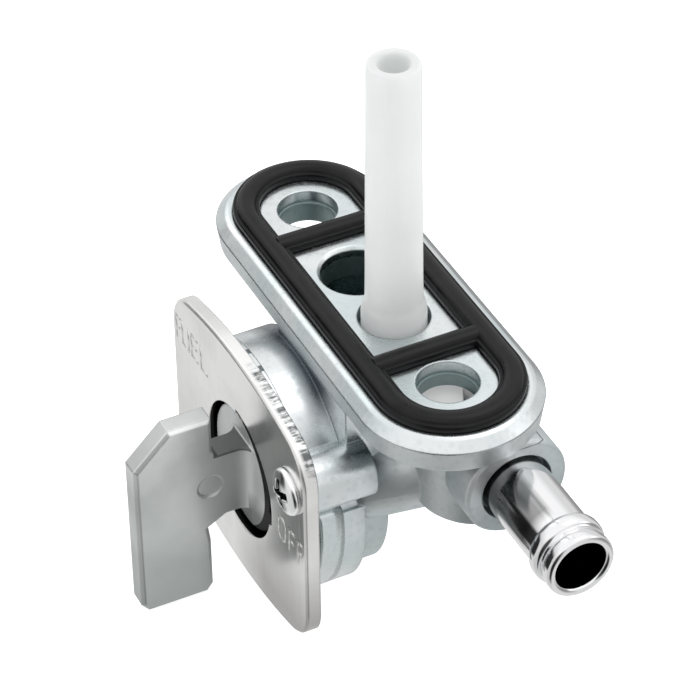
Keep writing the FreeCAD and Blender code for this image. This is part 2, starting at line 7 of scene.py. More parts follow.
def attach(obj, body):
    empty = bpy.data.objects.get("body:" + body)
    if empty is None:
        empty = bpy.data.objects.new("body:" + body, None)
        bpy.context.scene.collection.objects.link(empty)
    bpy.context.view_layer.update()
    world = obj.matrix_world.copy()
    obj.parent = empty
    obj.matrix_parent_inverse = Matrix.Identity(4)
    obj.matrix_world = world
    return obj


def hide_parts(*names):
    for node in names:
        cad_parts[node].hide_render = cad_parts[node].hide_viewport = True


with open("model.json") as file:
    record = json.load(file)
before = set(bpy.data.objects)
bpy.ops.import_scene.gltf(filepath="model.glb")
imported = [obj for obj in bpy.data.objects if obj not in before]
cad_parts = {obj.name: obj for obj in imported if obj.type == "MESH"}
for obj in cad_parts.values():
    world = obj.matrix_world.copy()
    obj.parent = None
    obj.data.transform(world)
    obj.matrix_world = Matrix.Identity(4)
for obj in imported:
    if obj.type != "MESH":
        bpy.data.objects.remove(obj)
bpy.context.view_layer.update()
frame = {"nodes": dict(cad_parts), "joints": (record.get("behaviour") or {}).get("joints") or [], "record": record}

MM = 0.001

# Places from the frame, in millimetres: the lever's joint is on the drum's axis, in the plate's front face
MOUNTS = {mount["name"]: mount for mount in frame["record"]["mounts"]}
FLANGE_HALF = MOUNTS["tank_bolts"]["dims"]["spacing_x_mm"] / 2
BOLT_R = MOUNTS["tank_bolts"]["dims"]["hole_r_mm"]
SPOUT_Y, SPOUT_Z = (1000 * place for place in MOUNTS["hose_spigot"]["pos_m"][1:])
PLATE_FRONT, VALVE_Z = (1000 * place for place in frame["joints"][0]["pos_m"][1:])

# Other places and sizes of the solids, in millimetres
FLANGE_LOW = -4.0
RIM_Z = -1.2
BLIND_TOP = -3.1
RESERVE_X = -4.48
RESERVE_R = 4.1
SEAL_MID = 6.9
SEAL_HALF = 1.5
SEAL_FOOT = -0.98
BAR_MID = 11.8
BAR_HALF = 1.4
PIPE_X = 4.45
PIPE_LOW = -7.45
PIPE_SEAT_R = 4.03
TUBE_R = 3.72
TUBE_BORE = 2.9
TUBE_START = 21.05
DRUM_R = 14.35
SCREW_X = 13.3
SCREW_RISE = 7.4
SCREW_R = 1.5
SCREW_LONG = 7.5
HEAD_R = 2.7
FLOOR_Z = -34.9


# Meshes

def grid_faces(rows, cols, close_rows=False, close_cols=False):
    """Quads of a rows by cols grid of points, numbered row by row."""
    r = np.arange(rows if close_rows else rows - 1)[:, None]
    c = np.arange(cols if close_cols else cols - 1)[None, :]
    r2 = (r + 1) % rows
    c2 = (c + 1) % cols
    quads = np.stack([r * cols + c, r2 * cols + c, r2 * cols + c2, r * cols + c2], axis=-1)
    return quads.reshape(-1, 4)


def joined(blocks):
    """One array of points and one of quads, from several blocks of (points, quads)."""
    points = [np.reshape(block[0], (-1, 3)) for block in blocks]
    starts = np.cumsum([0] + [len(block) for block in points])
    faces = [block[1] + start for block, start in zip(blocks, starts)]
    return np.concatenate(points), np.concatenate(faces)


def add_piece(name, points, faces, slot, body, stands_for=()):
    """Puts points in millimetres and quads into a smooth mesh that rides on a body, in its slot's finish."""
    mesh = bpy.data.meshes.new(name)
    mesh.from_pydata((np.reshape(points, (-1, 3)) * MM).tolist(), [], np.asarray(faces).tolist())
    mesh.polygons.foreach_set("use_smooth", np.ones(len(mesh.polygons), dtype=bool))
    mesh.materials.append(FINISHES[slot])
    mesh.update()
    piece = bpy.data.objects.new(name, mesh)
    bpy.context.scene.collection.objects.link(piece)
    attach(piece, body)
    if stands_for:
        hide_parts(*stands_for)
    return piece


def hump(t, square, sharp):
    """Rounded hump over -1..1 and 0 outside: (1 - |t|^square)^sharp. A larger square is flatter on top."""
    return np.clip(1 - np.abs(t) ** square, 0, 1) ** sharp


def smooth(t):
    """Smooth step from 0 to 1 over 0..1: t^2 (3 - 2t)."""
    t = np.clip(t, 0, 1)
    return t * t * (3 - 2 * t)


def rounded(profile, radius, steps=5):
    """Profile with each inner corner cut by a quadratic arc: (1-t)^2 a + 2t(1-t) corner + t^2 b.

    The arc's ends a and b lie a radius from the corner, or nearer where a side is short.
    """
    most = 0.45
    p = np.asarray(profile, dtype=float)
    before = p[:-2] - p[1:-1]
    after = p[2:] - p[1:-1]
    long_a = np.linalg.norm(before, axis=1, keepdims=True)
    long_b = np.linalg.norm(after, axis=1, keepdims=True)
    a = p[1:-1] + before / long_a * np.minimum(radius, long_a * most)
    b = p[1:-1] + after / long_b * np.minimum(radius, long_b * most)
    t = np.linspace(0, 1, steps)[None, :, None]
    arcs = (1 - t) ** 2 * a[:, None] + 2 * t * (1 - t) * p[1:-1][:, None] + t ** 2 * b[:, None]
    return np.concatenate([p[:1], arcs.reshape(-1, 2), p[-1:]])


def turned(profile, centre, axis, turns=160):
    """Closed ring profile of (along, radius) points turned about X or Z through a centre point."""
    angle = np.linspace(0, 2 * np.pi, turns, endpoint=False)[:, None]
    along = np.asarray(profile)[None, :, 0] + 0 * angle
    radius = np.asarray(profile)[None, :, 1]
    if axis == "X":
        parts = [along, centre[1] + radius * np.cos(angle), centre[2] + radius * np.sin(angle)]
    else:
        parts = [centre[0] + radius * np.cos(angle), centre[1] + radius * np.sin(angle), along]
    return np.stack(parts, axis=-1), grid_faces(turns, len(profile), True, True)


# Rubber ladder seal

def seal_height(across):
    """Seal top over -1..1 across: an arched crown in the middle, a groove and a thin lip at each side.

    The crown is 0.78 plus an arch of 0.67 over its part of the width. Each lip is 0.62 plus an arch of 0.24.
    """
    crown_part = 0.76
    lip_mid = 0.885
    lip_half = 0.11
    s = np.abs(across)
    crown = 0.78 + 0.67 * hump(s / crown_part, 2, 0.5)
    lip = 0.62 + 0.24 * hump((s - lip_mid) / lip_half, 2, 0.5)
    return np.where(s < crown_part, crown, lip)


def seal_section(half):
    """Closed outline (across, height) of the rubber: the top curve, then straight down into the groove.

    The curve's points stand closer towards its sides: 1 - (1 - |u|)^1.35 for even steps of u.
    """
    u = np.linspace(-1, 1, 41)
    s = np.sign(u) * (1 - (1 - np.abs(u)) ** 1.35)
    top = np.stack([s * half, seal_height(s)], axis=1)
    return np.concatenate([top, [[half, SEAL_FOOT], [-half, SEAL_FOOT]]])


def stadium_path(radius):
    """Points and outward normals round a stadium: two half circles joined by straight runs.

    Each point is a place on the line between the bolt holes, plus the radius times the normal.
    """
    a = np.linspace(-np.pi / 2, np.pi / 2, 40)
    arc = np.stack([np.cos(a), np.sin(a)], axis=1)
    run = np.linspace(-FLANGE_HALF, FLANGE_HALF, 14)[1:-1]
    across = np.repeat([[0.0, 1.0]], len(run), axis=0)
    normal = np.concatenate([arc, across, -arc, -across])
    line = np.zeros_like(normal)
    line[:, 0] = np.concatenate([FLANGE_HALF + 0 * a, run[::-1], -FLANGE_HALF + 0 * a, run])
    return line + radius * normal, normal


def ladder_seal():
    """Rail: the section carried round the stadium. Bars: the section carried straight across to the rails."""
    path, normal = stadium_path(SEAL_MID)
    rail = seal_section(SEAL_HALF)
    xy = path[:, None, :] + normal[:, None, :] * rail[None, :, :1]
    z = np.broadcast_to(rail[None, :, 1:], xy.shape[:2] + (1,))
    blocks = [(np.concatenate([xy, z], axis=-1), grid_faces(len(path), len(rail), True, True))]
    bar = seal_section(BAR_HALF)
    bar_low = 0.04
    bar_end = SEAL_MID - 0.72
    y, s = np.meshgrid([-bar_end, bar_end], np.arange(len(bar)), indexing="ij")
    for side in (-1, 1):
        points = np.stack([side * BAR_MID + bar[s, 0], y, bar[s, 1] - bar_low], axis=-1)
        blocks.append((points, grid_faces(2, len(bar), False, True)))
    return add_piece("ladder_seal", *joined(blocks), "seal_rubber", "housing", ("flange_seal",))


# Hose spigot and standpipe

def spigot_radius(x):
    """Outside radius along X: the plain tube, plus a squared bead 0.50 high and a tip ring 0.20 high."""
    bead_x, bead_half = 36.75, 1.0
    ring_x, ring_half = 39.2, 0.95
    bead = 0.50 * hump((x - bead_x) / bead_half, 2.6, 0.5)
    ring = 0.20 * hump((x - ring_x) / ring_half, 2.5, 0.7)
    return TUBE_R + bead + ring


def hose_spigot():
    """Turned tube: outside radius by formula, a rolled lip at the tip, and a straight bore.

    The lip is half an ellipse from the tip ring round to the bore: 0.42 long and as high as the wall.
    """
    lip_x = 39.55
    x = np.concatenate([[TUBE_START, 25.0, 30.0, 34.0], np.linspace(34.6, lip_x, 56)])
    outside = np.stack([x, spigot_radius(x)], axis=1)
    outer = spigot_radius(lip_x)
    inner = TUBE_BORE + 0.02
    a = np.linspace(0.15, 1.0, 9) * np.pi
    lip = np.stack([lip_x + 0.42 * np.sin(a), (outer + inner) / 2 + (outer - inner) / 2 * np.cos(a)], axis=1)
    bore = [[38.6, TUBE_BORE], [30.0, TUBE_BORE], [TUBE_START, TUBE_BORE]]
    points, faces = turned(np.concatenate([outside, lip, bore]), (0, SPOUT_Y, SPOUT_Z), "X")
    return add_piece("hose_spigot", points, faces[:, ::-1], "bright_plating", "housing", ("outlet_pipe",))


def fuel_standpipe():
    """Turned pipe: collar with a swept foot, slightly tapering wall, rounded rim and a bore."""
    base = [[PIPE_LOW, 1.62], [PIPE_LOW, 2.68]]
    foot = [[-1.95, 2.72], [-1.95, 3.6], [0.9, 3.62], [1.75, 3.5], [2.6, 3.18], [6.0, 3.13]]
    rim = [[32.55, 2.93], [32.98, 2.78], [32.98, 1.85], [32.4, 1.6]]
    profile = rounded([*base, *foot, *rim, [PIPE_LOW, 1.6]], 0.45)[:-1]
    points, faces = turned(profile, (PIPE_X, 0, 0), "Z")
    return add_piece("fuel_standpipe", points, faces, "milky_nylon", "housing", ("standpipe",))


# Cast relief

def drum_pad():
    """Raised step round the drum, between two angles.

    Its radius is the drum's plus 0.57 times a smooth step, over the front edge and over both ends. The last
    row, at the back edge, has 0.4 of the step.
    """
    start, end = np.radians([13.9, -193.9])
    past = np.radians(0.3)
    y = np.concatenate([np.linspace(-14.5, -13.7, 9), [-12.5, -11.32, -11.3]])
    front = smooth((y + 14.4) / 0.45)
    front[-1] = 0.4
    a = np.linspace(start + past, end - past, 140)[:, None]
    ends = smooth(np.minimum(start - a, a - end) / 0.03)
    radius = DRUM_R + 0.57 * front * ends
    points = np.stack([radius * np.cos(a), y + 0 * a, VALVE_Z + radius * np.sin(a)], axis=-1)
    return add_piece("drum_pad", points, grid_faces(*radius.shape), "zinc_casting", "housing")


# Screws

def cross_arm(across, along):
    """1 inside an arm of the cross recess, falling straight to 0 over its side and its end."""
    return np.clip((0.49 - across) / 0.09, 0, 1) * np.clip((1.72 - along) / 0.12, 0, 1)


def screw_heads():
    """Two pan-head screws on polar grids about their axes.

    The crown stands 0.45 + 0.85 (1 - (r / head radius)^2.4)^0.6 over the plate. A cross of two arms, 0.9 wide
    and 3.3 long, is cut 0.95 deep at the middle and 0.55 at the arms' ends. A plain shank runs in behind.
    """
    cross_turn = 0.35
    r = np.concatenate([np.linspace(0, 1.7, 30), np.linspace(1.78, HEAD_R, 12)])
    a = np.linspace(0, 2 * np.pi, 120, endpoint=False)
    radius, angle = np.meshgrid(r, a, indexing="ij")
    u = np.abs(radius * np.cos(angle - cross_turn))
    v = np.abs(radius * np.sin(angle - cross_turn))
    cross = np.maximum(cross_arm(u, v), cross_arm(v, u))
    height = 0.45 + 0.85 * hump(radius / HEAD_R, 2.4, 0.6) - cross * (0.95 - 0.23 * radius)
    shank = [(SCREW_R, 0), (SCREW_R, -SCREW_LONG), (0, -SCREW_LONG)]
    low = np.array([(HEAD_R + 0.02, 0.3), (HEAD_R, 0), *shank])
    radius = np.concatenate([radius, low[:, :1] + 0 * a])
    height = np.concatenate([height, low[:, 1:] + 0 * a])
    faces = grid_faces(*radius.shape, False, True)
    heads = []
    for side in (1, -1):
        x = side * SCREW_X + radius * np.cos(a)
        z = VALVE_Z + side * SCREW_RISE + radius * np.sin(a)
        heads.append((np.stack([x, PLATE_FRONT - height, z], axis=-1), faces))
    return add_piece("screw_heads", *joined(heads), "screw_plating", "housing", ("plate_screws",))


# Words on the plate: each letter's lines as x, z, x, z in a box that is one wide and one high

GLYPHS = {
    "F": [(0, 0, 0, 1), (0, 1, 1, 1), (0, 0.52, 0.8, 0.52)],
    "E": [(0, 0, 0, 1), (0, 1, 1, 1), (0, 0.52, 0.8, 0.52), (0, 0, 1, 0)],
    "L": [(0, 0, 0, 1), (0, 0, 1, 0)],
    "U": [(0, 0, 0, 1), (0, 0, 1, 0), (1, 0, 1, 1)],
    "O": [(0, 0.14, 0, 0.86), (0, 0.86, 0.3, 1), (0.3, 1, 0.7, 1), (0.7, 1, 1, 0.86), (1, 0.86, 1, 0.14),
          (1, 0.14, 0.7, 0), (0.7, 0, 0.3, 0), (0.3, 0, 0, 0.14)],
}
LETTER_HIGH = 3.0


def stroke(start, end):
    """Flat oval bar along a line on the plate, 0.4 wide and 0.06 proud: two rings, each with a flat end."""
    a = np.linspace(0, 2 * np.pi, 12, endpoint=False)
    size = np.array([0.0, 1.0, 1.0, 0.0])[:, None]
    along = (end - start) / np.linalg.norm(end - start)
    side = np.array([-along[1], along[0]])
    past = along * 0.12
    rings = np.stack([start - past, start - past, end + past, end + past])
    xz = rings[:, None, :] + side * (size * 0.20 * np.cos(a))[:, :, None]
    y = PLATE_FRONT + 0.02 - 0.08 * size * np.sin(a)
    return np.stack([xz[..., 0], y, xz[..., 1]], axis=-1), grid_faces(4, len(a), False, True)[:, ::-1]


def word(name, low, letters):
    """Raised strokes along the lines of each letter, which is given by its glyph, left edge and width."""
    bars = []
    for glyph, left, width in letters:
        for line in GLYPHS[glyph]:
            ends = np.reshape(line, (2, 2)) * (width, LETTER_HIGH) + (left, low)
            bars.append(stroke(*ends))
    return add_piece(name, *joined(bars), "plate_steel", "housing")


# Shader building blocks

def feed(tree, socket, value):
    """Links an output socket to an input socket, or sets a number or a vector on it."""
    if isinstance(value, bpy.types.NodeSocket):
        tree.links.new(value, socket)
    else:
        socket.default_value = value


def new_group(name, inputs, outputs):
    """Empty shader group with named float and vector sockets."""
    group = bpy.data.node_groups.new(name, "ShaderNodeTree")
    kinds = {"float": "NodeSocketFloat", "vector": "NodeSocketVector"}
    for label, kind, value in inputs:
        socket = group.interface.new_socket(name=label, in_out="INPUT", socket_type=kinds[kind])
        if value is not None:
            socket.default_value = value
    for label in outputs:
        group.interface.new_socket(name=label, in_out="OUTPUT", socket_type=kinds["float"])
    return group, group.nodes.new("NodeGroupInput").outputs, group.nodes.new("NodeGroupOutput").inputs


def place_group(tree, group, where, **values):
    """Puts a shared group into a material with its own values, and gives its outputs."""
    node = tree.nodes.new("ShaderNodeGroup")
    node.node_tree = group
    tree.links.new(where, node.inputs["Vector"])
    for label, value in values.items():
        node.inputs[label].default_value = value
    return node.outputs


def noise(tree, where, scale, detail=3.0, rough=0.55):
    """Noise texture, with its scale in cycles per metre."""
    node = tree.nodes.new("ShaderNodeTexNoise")
    node.inputs["Detail"].default_value = detail
    node.inputs["Roughness"].default_value = rough
    feed(tree, node.inputs["Scale"], scale)
    feed(tree, node.inputs["Vector"], where)
    return node.outputs["Fac"]


def stretched(tree, where, scale, turn=(0, 0, 0)):
    """Place scaled along each axis and turned, for a streaky pattern."""
    node = tree.nodes.new("ShaderNodeMapping")
    node.inputs["Scale"].default_value = scale
    node.inputs["Rotation"].default_value = turn
    tree.links.new(where, node.inputs["Vector"])
    return node.outputs["Vector"]


def axes(tree, where):
    """X, Y and Z of a place, each as a socket."""
    node = tree.nodes.new("ShaderNodeSeparateXYZ")
    tree.links.new(where, node.inputs[0])
    return node.outputs["X"], node.outputs["Y"], node.outputs["Z"]


def calc(tree, kind, *values):
    """Math node on sockets or numbers."""
    node = tree.nodes.new("ShaderNodeMath")
    node.operation = kind
    for socket, value in zip(node.inputs, values):
        feed(tree, socket, value)
    return node.outputs[0]


def product(tree, first, *others):
    """Masks and numbers multiplied: 1 only where every mask is 1."""
    for other in others:
        first = calc(tree, "MULTIPLY", first, other)
    return first


def total(tree, first, *others):
    """Values added up."""
    for other in others:
        first = calc(tree, "ADD", first, other)
    return first


def remap(tree, value, low, high, to_low, to_high):
    """Clamped straight-line change of range."""
    node = tree.nodes.new("ShaderNodeMapRange")
    node.inputs["From Min"].default_value = low
    node.inputs["From Max"].default_value = high
    node.inputs["To Min"].default_value = to_low
    node.inputs["To Max"].default_value = to_high
    tree.links.new(value, node.inputs["Value"])
    return node.outputs["Result"]


def ramp(tree, length, start, end, top=1.0):
    """Mask that goes straight from 0 at the start to top at the end, both places in millimetres."""
    return remap(tree, length, start * MM, end * MM, 0.0, top)


def above(tree, length, limit):
    """1 where a length is over a limit in millimetres."""
    return calc(tree, "GREATER_THAN", length, limit * MM)


def below(tree, length, limit):
    """1 where a length is under a limit in millimetres."""
    return calc(tree, "LESS_THAN", length, limit * MM)


def near(tree, length, place, reach):
    """1 where a length is within reach of a place, both in millimetres."""
    return calc(tree, "COMPARE", length, place * MM, reach * MM)


def away_from(tree, length, place):
    """Length measured from a place in millimetres."""
    return calc(tree, "SUBTRACT", length, place * MM)


def from_axis(tree, a, b):
    """Distance from an axis: the root of the summed squares of the two lengths across it."""
    return calc(tree, "SQRT", total(tree, product(tree, a, a), product(tree, b, b)))


def blend_colour(tree, mask, a, b):
    """Colour a where the mask is 0 and colour b where it is 1."""
    node = tree.nodes.new("ShaderNodeMix")
    node.data_type = "RGBA"
    tree.links.new(mask, node.inputs["Factor"])
    for socket, value in ((node.inputs[6], a), (node.inputs[7], b)):
        feed(tree, socket, (*value, 1.0) if isinstance(value, tuple) else value)
    return node.outputs[2]


def painted(tree, base, layers):
    """Base colour with each layer's colour laid over it, in order, where the layer's mask is 1."""
    for mask, colour in layers:
        base = blend_colour(tree, mask, base, colour)
    return base


# Shared shader groups

def cast_grain_group():
    """Cast skin: a height from noise and small cells, a patch mask for a tint, and a mask of speckle."""
    group, given, gives = new_group(
        "cast_grain", [("Vector", "vector", None), ("Grain", "float", 900.0), ("Patch", "float", 90.0)],
        ["Height", "Patches", "Speckle"])
    fine = noise(group, given["Vector"], given["Grain"], 4.0, 0.5)
    broad = noise(group, given["Vector"], given["Patch"], 2.0, 0.5)
    cells = group.nodes.new("ShaderNodeTexVoronoi")
    feed(group, cells.inputs["Vector"], given["Vector"])
    feed(group, cells.inputs["Scale"], product(group, given["Grain"], 1.3))
    spots = cells.outputs["Distance"]
    height = total(group, product(group, fine, 0.7), product(group, spots, 0.3))
    feed(group, gives["Height"], height)
    feed(group, gives["Patches"], remap(group, broad, 0.38, 0.62, 0.0, 1.0))
    feed(group, gives["Speckle"], remap(group, spots, 0.12, 0.5, 1.0, 0.0))
    return group


def handling_group():
    """Faint handling marks: soft smudges and a few fine scratches, as one mask each."""
    group, given, gives = new_group(
        "handling_marks", [("Vector", "vector", None), ("Size", "float", 160.0)], ["Smudge", "Scratch"])
    soft = noise(group, given["Vector"], given["Size"], 5.0, 0.5)
    streaks = stretched(group, given["Vector"], (1.0, 1.0, 14.0), (0.5, 0.9, 0.3))
    lines = noise(group, streaks, 260.0, 2.0)
    feed(group, gives["Smudge"], remap(group, soft, 0.4, 0.68, 0.0, 1.0))
    feed(group, gives["Scratch"], remap(group, lines, 0.66, 0.72, 0.0, 1.0))
    return group


def bore_group():
    """Mask for painted shade on the skin inside a round hole about Z, from just under its rim down to its floor.
    """
    group, given, gives = new_group(
        "bore_shade", [("Vector", "vector", None), ("Axis", "float", 0.0), ("Radius", "float", 0.004),
                       ("Floor", "float", 0.0)], ["Mask"])
    x, y, z = axes(group, given["Vector"])
    out = from_axis(group, calc(group, "SUBTRACT", x, given["Axis"]), y)
    inside = ramp(group, calc(group, "SUBTRACT", out, given["Radius"]), 0.1, 0.05)
    deep = ramp(group, z, -0.3, -1.5)
    clear = calc(group, "GREATER_THAN", z, given["Floor"])
    feed(group, gives["Mask"], product(group, inside, deep, clear))
    return group


CAST_GRAIN = cast_grain_group()
HANDLING = handling_group()
BORE_SHADE = bore_group()


# Finishes

def start_finish(name, metallic=0.0):
    """New material: gives it with its tree, its shader's sockets and the object coordinates."""
    finish = bpy.data.materials.new(name)
    finish.use_nodes = True
    tree = finish.node_tree
    sockets = tree.nodes["Principled BSDF"].inputs
    sockets["Metallic"].default_value = metallic
    return finish, tree, sockets, tree.nodes.new("ShaderNodeTexCoord").outputs["Object"]


def give_bump(tree, sockets, height, strength, depth, edge=0.0):
    """Bump from a height, over edges rounded by a Bevel node where edge is above zero."""
    bump = tree.nodes.new("ShaderNodeBump")
    bump.inputs["Strength"].default_value = strength
    bump.inputs["Distance"].default_value = depth
    tree.links.new(height, bump.inputs["Height"])
    if edge > 0:
        bevel = tree.nodes.new("ShaderNodeBevel")
        bevel.samples = 6
        bevel.inputs["Radius"].default_value = edge
        tree.links.new(bevel.outputs["Normal"], bump.inputs["Normal"])
    tree.links.new(bump.outputs["Normal"], sockets["Normal"])


def bore_layers(tree, where):
    """Layers of painted shade on the skin inside the flange's four holes, each given by axis, radius and floor."""
    # painted shade: the dark tone inside the holes
    hole_shade_tone = (0.26, 0.33, 0.33)
    open_end = -20.0
    holes = (
        (-FLANGE_HALF, BOLT_R, open_end),
        (FLANGE_HALF, BOLT_R, BLIND_TOP),
        (RESERVE_X, RESERVE_R, open_end),
        (PIPE_X, PIPE_SEAT_R, open_end),
    )
    layers = []
    for x, radius, floor in holes:
        bore = place_group(tree, BORE_SHADE, where, Axis=x * MM, Radius=radius * MM, Floor=floor * MM)
        layers.append((bore["Mask"], hole_shade_tone))
    return layers


def nook_shade(tree, reach, most):
    """Mask of painted shade in narrow corners, from the free space round each point within reach in millimetres.
    """
    node = tree.nodes.new("ShaderNodeAmbientOcclusion")
    node.samples = 4
    node.inputs["Distance"].default_value = reach * MM
    return remap(tree, node.outputs["AO"], 0.15, 0.55, most, 0.0)


def casting_places(tree, where):
    """Masks of the casting's places, by name: painted shade where they lie in shade, painted light on the blind
    hole's floor, and places duller than the rest.
    """
    x, y, z = axes(tree, where)
    rear = ramp(tree, y, -10.0, -8.0)
    neck = product(tree, ramp(tree, z, -8.5, -12.5), rear)
    bolt_right = from_axis(tree, away_from(tree, x, FLANGE_HALF), y)
    return {
        # painted shade on the flange's underside
        "flange_under_shade": near(tree, z, FLANGE_LOW, 0.05),
        # painted shade: a dark line in the crease at the rim's edge
        "rim_crease_shade": product(tree, near(tree, z, RIM_Z, 0.06), 0.6),
        "flange_side": product(tree, below(tree, z, -1.3), above(tree, z, -3.9)),
        # painted shade on the drum's top, under the flange
        "drum_top_shade": product(tree, ramp(tree, y, -12.4, -10.4, 0.9), ramp(tree, z, -16.0, -13.0),
                            below(tree, z, -4.2), below(tree, y, -5.2), ramp(tree, x, 11.0, 6.0)),
        # painted shade, darker towards the drum's foot
        "drum_foot_shade": ramp(tree, z, -14.0, -31.0, 0.5),
        "neck": neck,
        # painted shade on the elbow, under the flange
        "elbow": product(tree, neck, ramp(tree, y, -4.0, -1.0, 0.55)),
        "boss": product(tree, below(tree, z, -4.1), ramp(tree, x, 15.0, 16.5), rear),
        # painted light: the blind hole's floor, paler than the zinc so that it reads lit
        "blind_floor_light": product(tree, below(tree, bolt_right, 3.6), below(tree, z, BLIND_TOP),
                               above(tree, z, -4.5)),
    }


def zinc_finish():
    """Passivated zinc casting: tinted patches, speckle and cast grain, with painted shade in its bores, narrow
    corners and shaded places, and painted light on the blind hole's floor.
    """
    finish, tree, sockets, where = start_finish("passivated_zinc")
    skin = place_group(tree, CAST_GRAIN, where, Grain=900.0)
    marks = place_group(tree, HANDLING, where, Size=140.0)
    at = casting_places(tree, where)
    worn = (0.56, 0.61, 0.62)
    base = blend_colour(tree, skin["Patches"], (0.78, 0.80, 0.81), (0.66, 0.73, 0.74))
    base = painted(tree, base, [
        (product(tree, marks["Smudge"], 0.45), worn),
        (product(tree, skin["Speckle"], 0.25), worn),
        *bore_layers(tree, where),
        # painted shade in narrow corners
        (nook_shade(tree, 3.5, 0.5), (0.22, 0.27, 0.28)),
        (at["flange_under_shade"], (0.16, 0.19, 0.20)),
        (at["rim_crease_shade"], (0.25, 0.28, 0.30)),
        (at["drum_top_shade"], (0.08, 0.10, 0.12)),
        (at["drum_foot_shade"], (0.45, 0.50, 0.49)),
        (at["elbow"], (0.36, 0.42, 0.43)),
        (at["blind_floor_light"], (0.86, 0.84, 0.84)),
    ])
    rough = total(tree, remap(tree, skin["Speckle"], 0, 1, 0.24, 0.32), product(tree, marks["Smudge"], 0.05),
                  product(tree, at["flange_side"], 0.20),
                  product(tree, calc(tree, "MAXIMUM", at["neck"], at["boss"]), 0.28))
    feed(tree, sockets["Base Color"], base)
    # the painted light on the blind hole's floor also takes most of its metal away, so that it reads as a lit
    # patch
    feed(tree, sockets["Metallic"], calc(tree, "SUBTRACT", 1.0, product(tree, at["blind_floor_light"], 0.85)))
    feed(tree, sockets["Roughness"], rough)
    give_bump(tree, sockets, skin["Height"], 0.24, 0.00006, 0.0003)
    return finish


def rubber_finish(name, tone, rough):
    """Moulded black rubber with a faint bloom and fine mould texture."""
    finish, tree, sockets, where = start_finish(name)
    smudge = place_group(tree, HANDLING, where, Size=420.0)["Smudge"]
    bloom = (tone * 2.2, tone * 2.2, tone * 2.3)
    feed(tree, sockets["Base Color"], blend_colour(tree, smudge, (tone, tone, tone * 1.05), bloom))
    feed(tree, sockets["Roughness"], remap(tree, smudge, 0, 1, rough, rough + 0.12))
    sockets["Specular IOR Level"].default_value = 0.22
    give_bump(tree, sockets, noise(tree, where, 2600.0, 3.0), 0.12, 0.00004)
    return finish


def nylon_finish():
    """Milky nylon: light scattered inside, clouded very slightly, with a painted glow from a faint emission,
    though it is no lamp.
    """
    finish, tree, sockets, where = start_finish("milky_nylon")
    cloud = noise(tree, where, 120.0, 2.0)
    base = blend_colour(tree, remap(tree, cloud, 0.35, 0.65, 0, 1), (0.54, 0.55, 0.545), (0.57, 0.58, 0.575))
    feed(tree, sockets["Base Color"], base)
    feed(tree, sockets["Roughness"], remap(tree, cloud, 0.3, 0.7, 0.30, 0.38))
    sockets["Subsurface Weight"].default_value = 0.7
    sockets["Subsurface Radius"].default_value = (0.0020, 0.0021, 0.0021)
    sockets["Subsurface Scale"].default_value = 1.0
    # painted glow: the emission brightens the nylon, though it is no lamp
    sockets["Emission Color"].default_value = (0.98, 1.0, 1.0, 1.0)
    sockets["Emission Strength"].default_value = 0.19
    give_bump(tree, sockets, noise(tree, where, 900.0, 2.0), 0.05, 0.00004)
    return finish


def spout_layers(tree, where):
    """Layers of the spigot: a painted dark reflection along one side of its plain tube, and painted shade in its
    bore behind the rolled lip.

    The side is where -0.788 y + 0.616 z, measured from the tube's axis, rises from 2.62 to 3.12 mm.
    """
    x, y, z = axes(tree, where)
    y = away_from(tree, y, SPOUT_Y)
    z = away_from(tree, z, SPOUT_Z)
    out = from_axis(tree, y, z)
    # painted shade in the bore behind the lip
    bore = product(tree, ramp(tree, out, 2.96, 2.92), ramp(tree, x, 39.8, 39.5))
    toward = total(tree, product(tree, y, -0.788), product(tree, z, 0.616))
    # painted dark reflection: a dark band along one side of the tube
    side = product(tree, ramp(tree, toward, 2.62, 3.12, 0.72), ramp(tree, x, 35.2, 33.8))
    return [(side, (0.12, 0.12, 0.12)), (bore, (0.02, 0.02, 0.02))]


def screw_layers(tree, where):
    """Layer of painted shade in the cross recesses of both screws: close round each axis, and lower than the
    crown.
    """
    x, y, z = axes(tree, where)
    x = away_from(tree, calc(tree, "ABSOLUTE", x), SCREW_X)
    z = away_from(tree, calc(tree, "ABSOLUTE", away_from(tree, z, VALVE_Z)), SCREW_RISE)
    low = ramp(tree, y, PLATE_FRONT - 1.05, PLATE_FRONT - 0.95)
    # painted shade: near black in the cross recesses
    return [(product(tree, below(tree, from_axis(tree, x, z), 1.75), low), (0.02, 0.02, 0.02))]


def plated_finish(name, tone, rough, edge=0.0, layers=None):
    """Bright plating with faint smudges and fine scratches, under the piece's own layers where it has any."""
    finish, tree, sockets, where = start_finish(name, 1.0)
    marks = place_group(tree, HANDLING, where, Size=200.0)
    scratched = tuple(share * 0.8 for share in tone)
    base = blend_colour(tree, product(tree, marks["Scratch"], 0.5), tone, scratched)
    if layers:
        base = painted(tree, base, layers(tree, where))
    feed(tree, sockets["Base Color"], base)
    feed(tree, sockets["Roughness"], total(tree, remap(tree, marks["Smudge"], 0, 1, rough, rough + 0.05),
                                           product(tree, marks["Scratch"], 0.12)))
    give_bump(tree, sockets, noise(tree, where, 220.0, 2.0), 0.04, 0.00005, edge)
    return finish


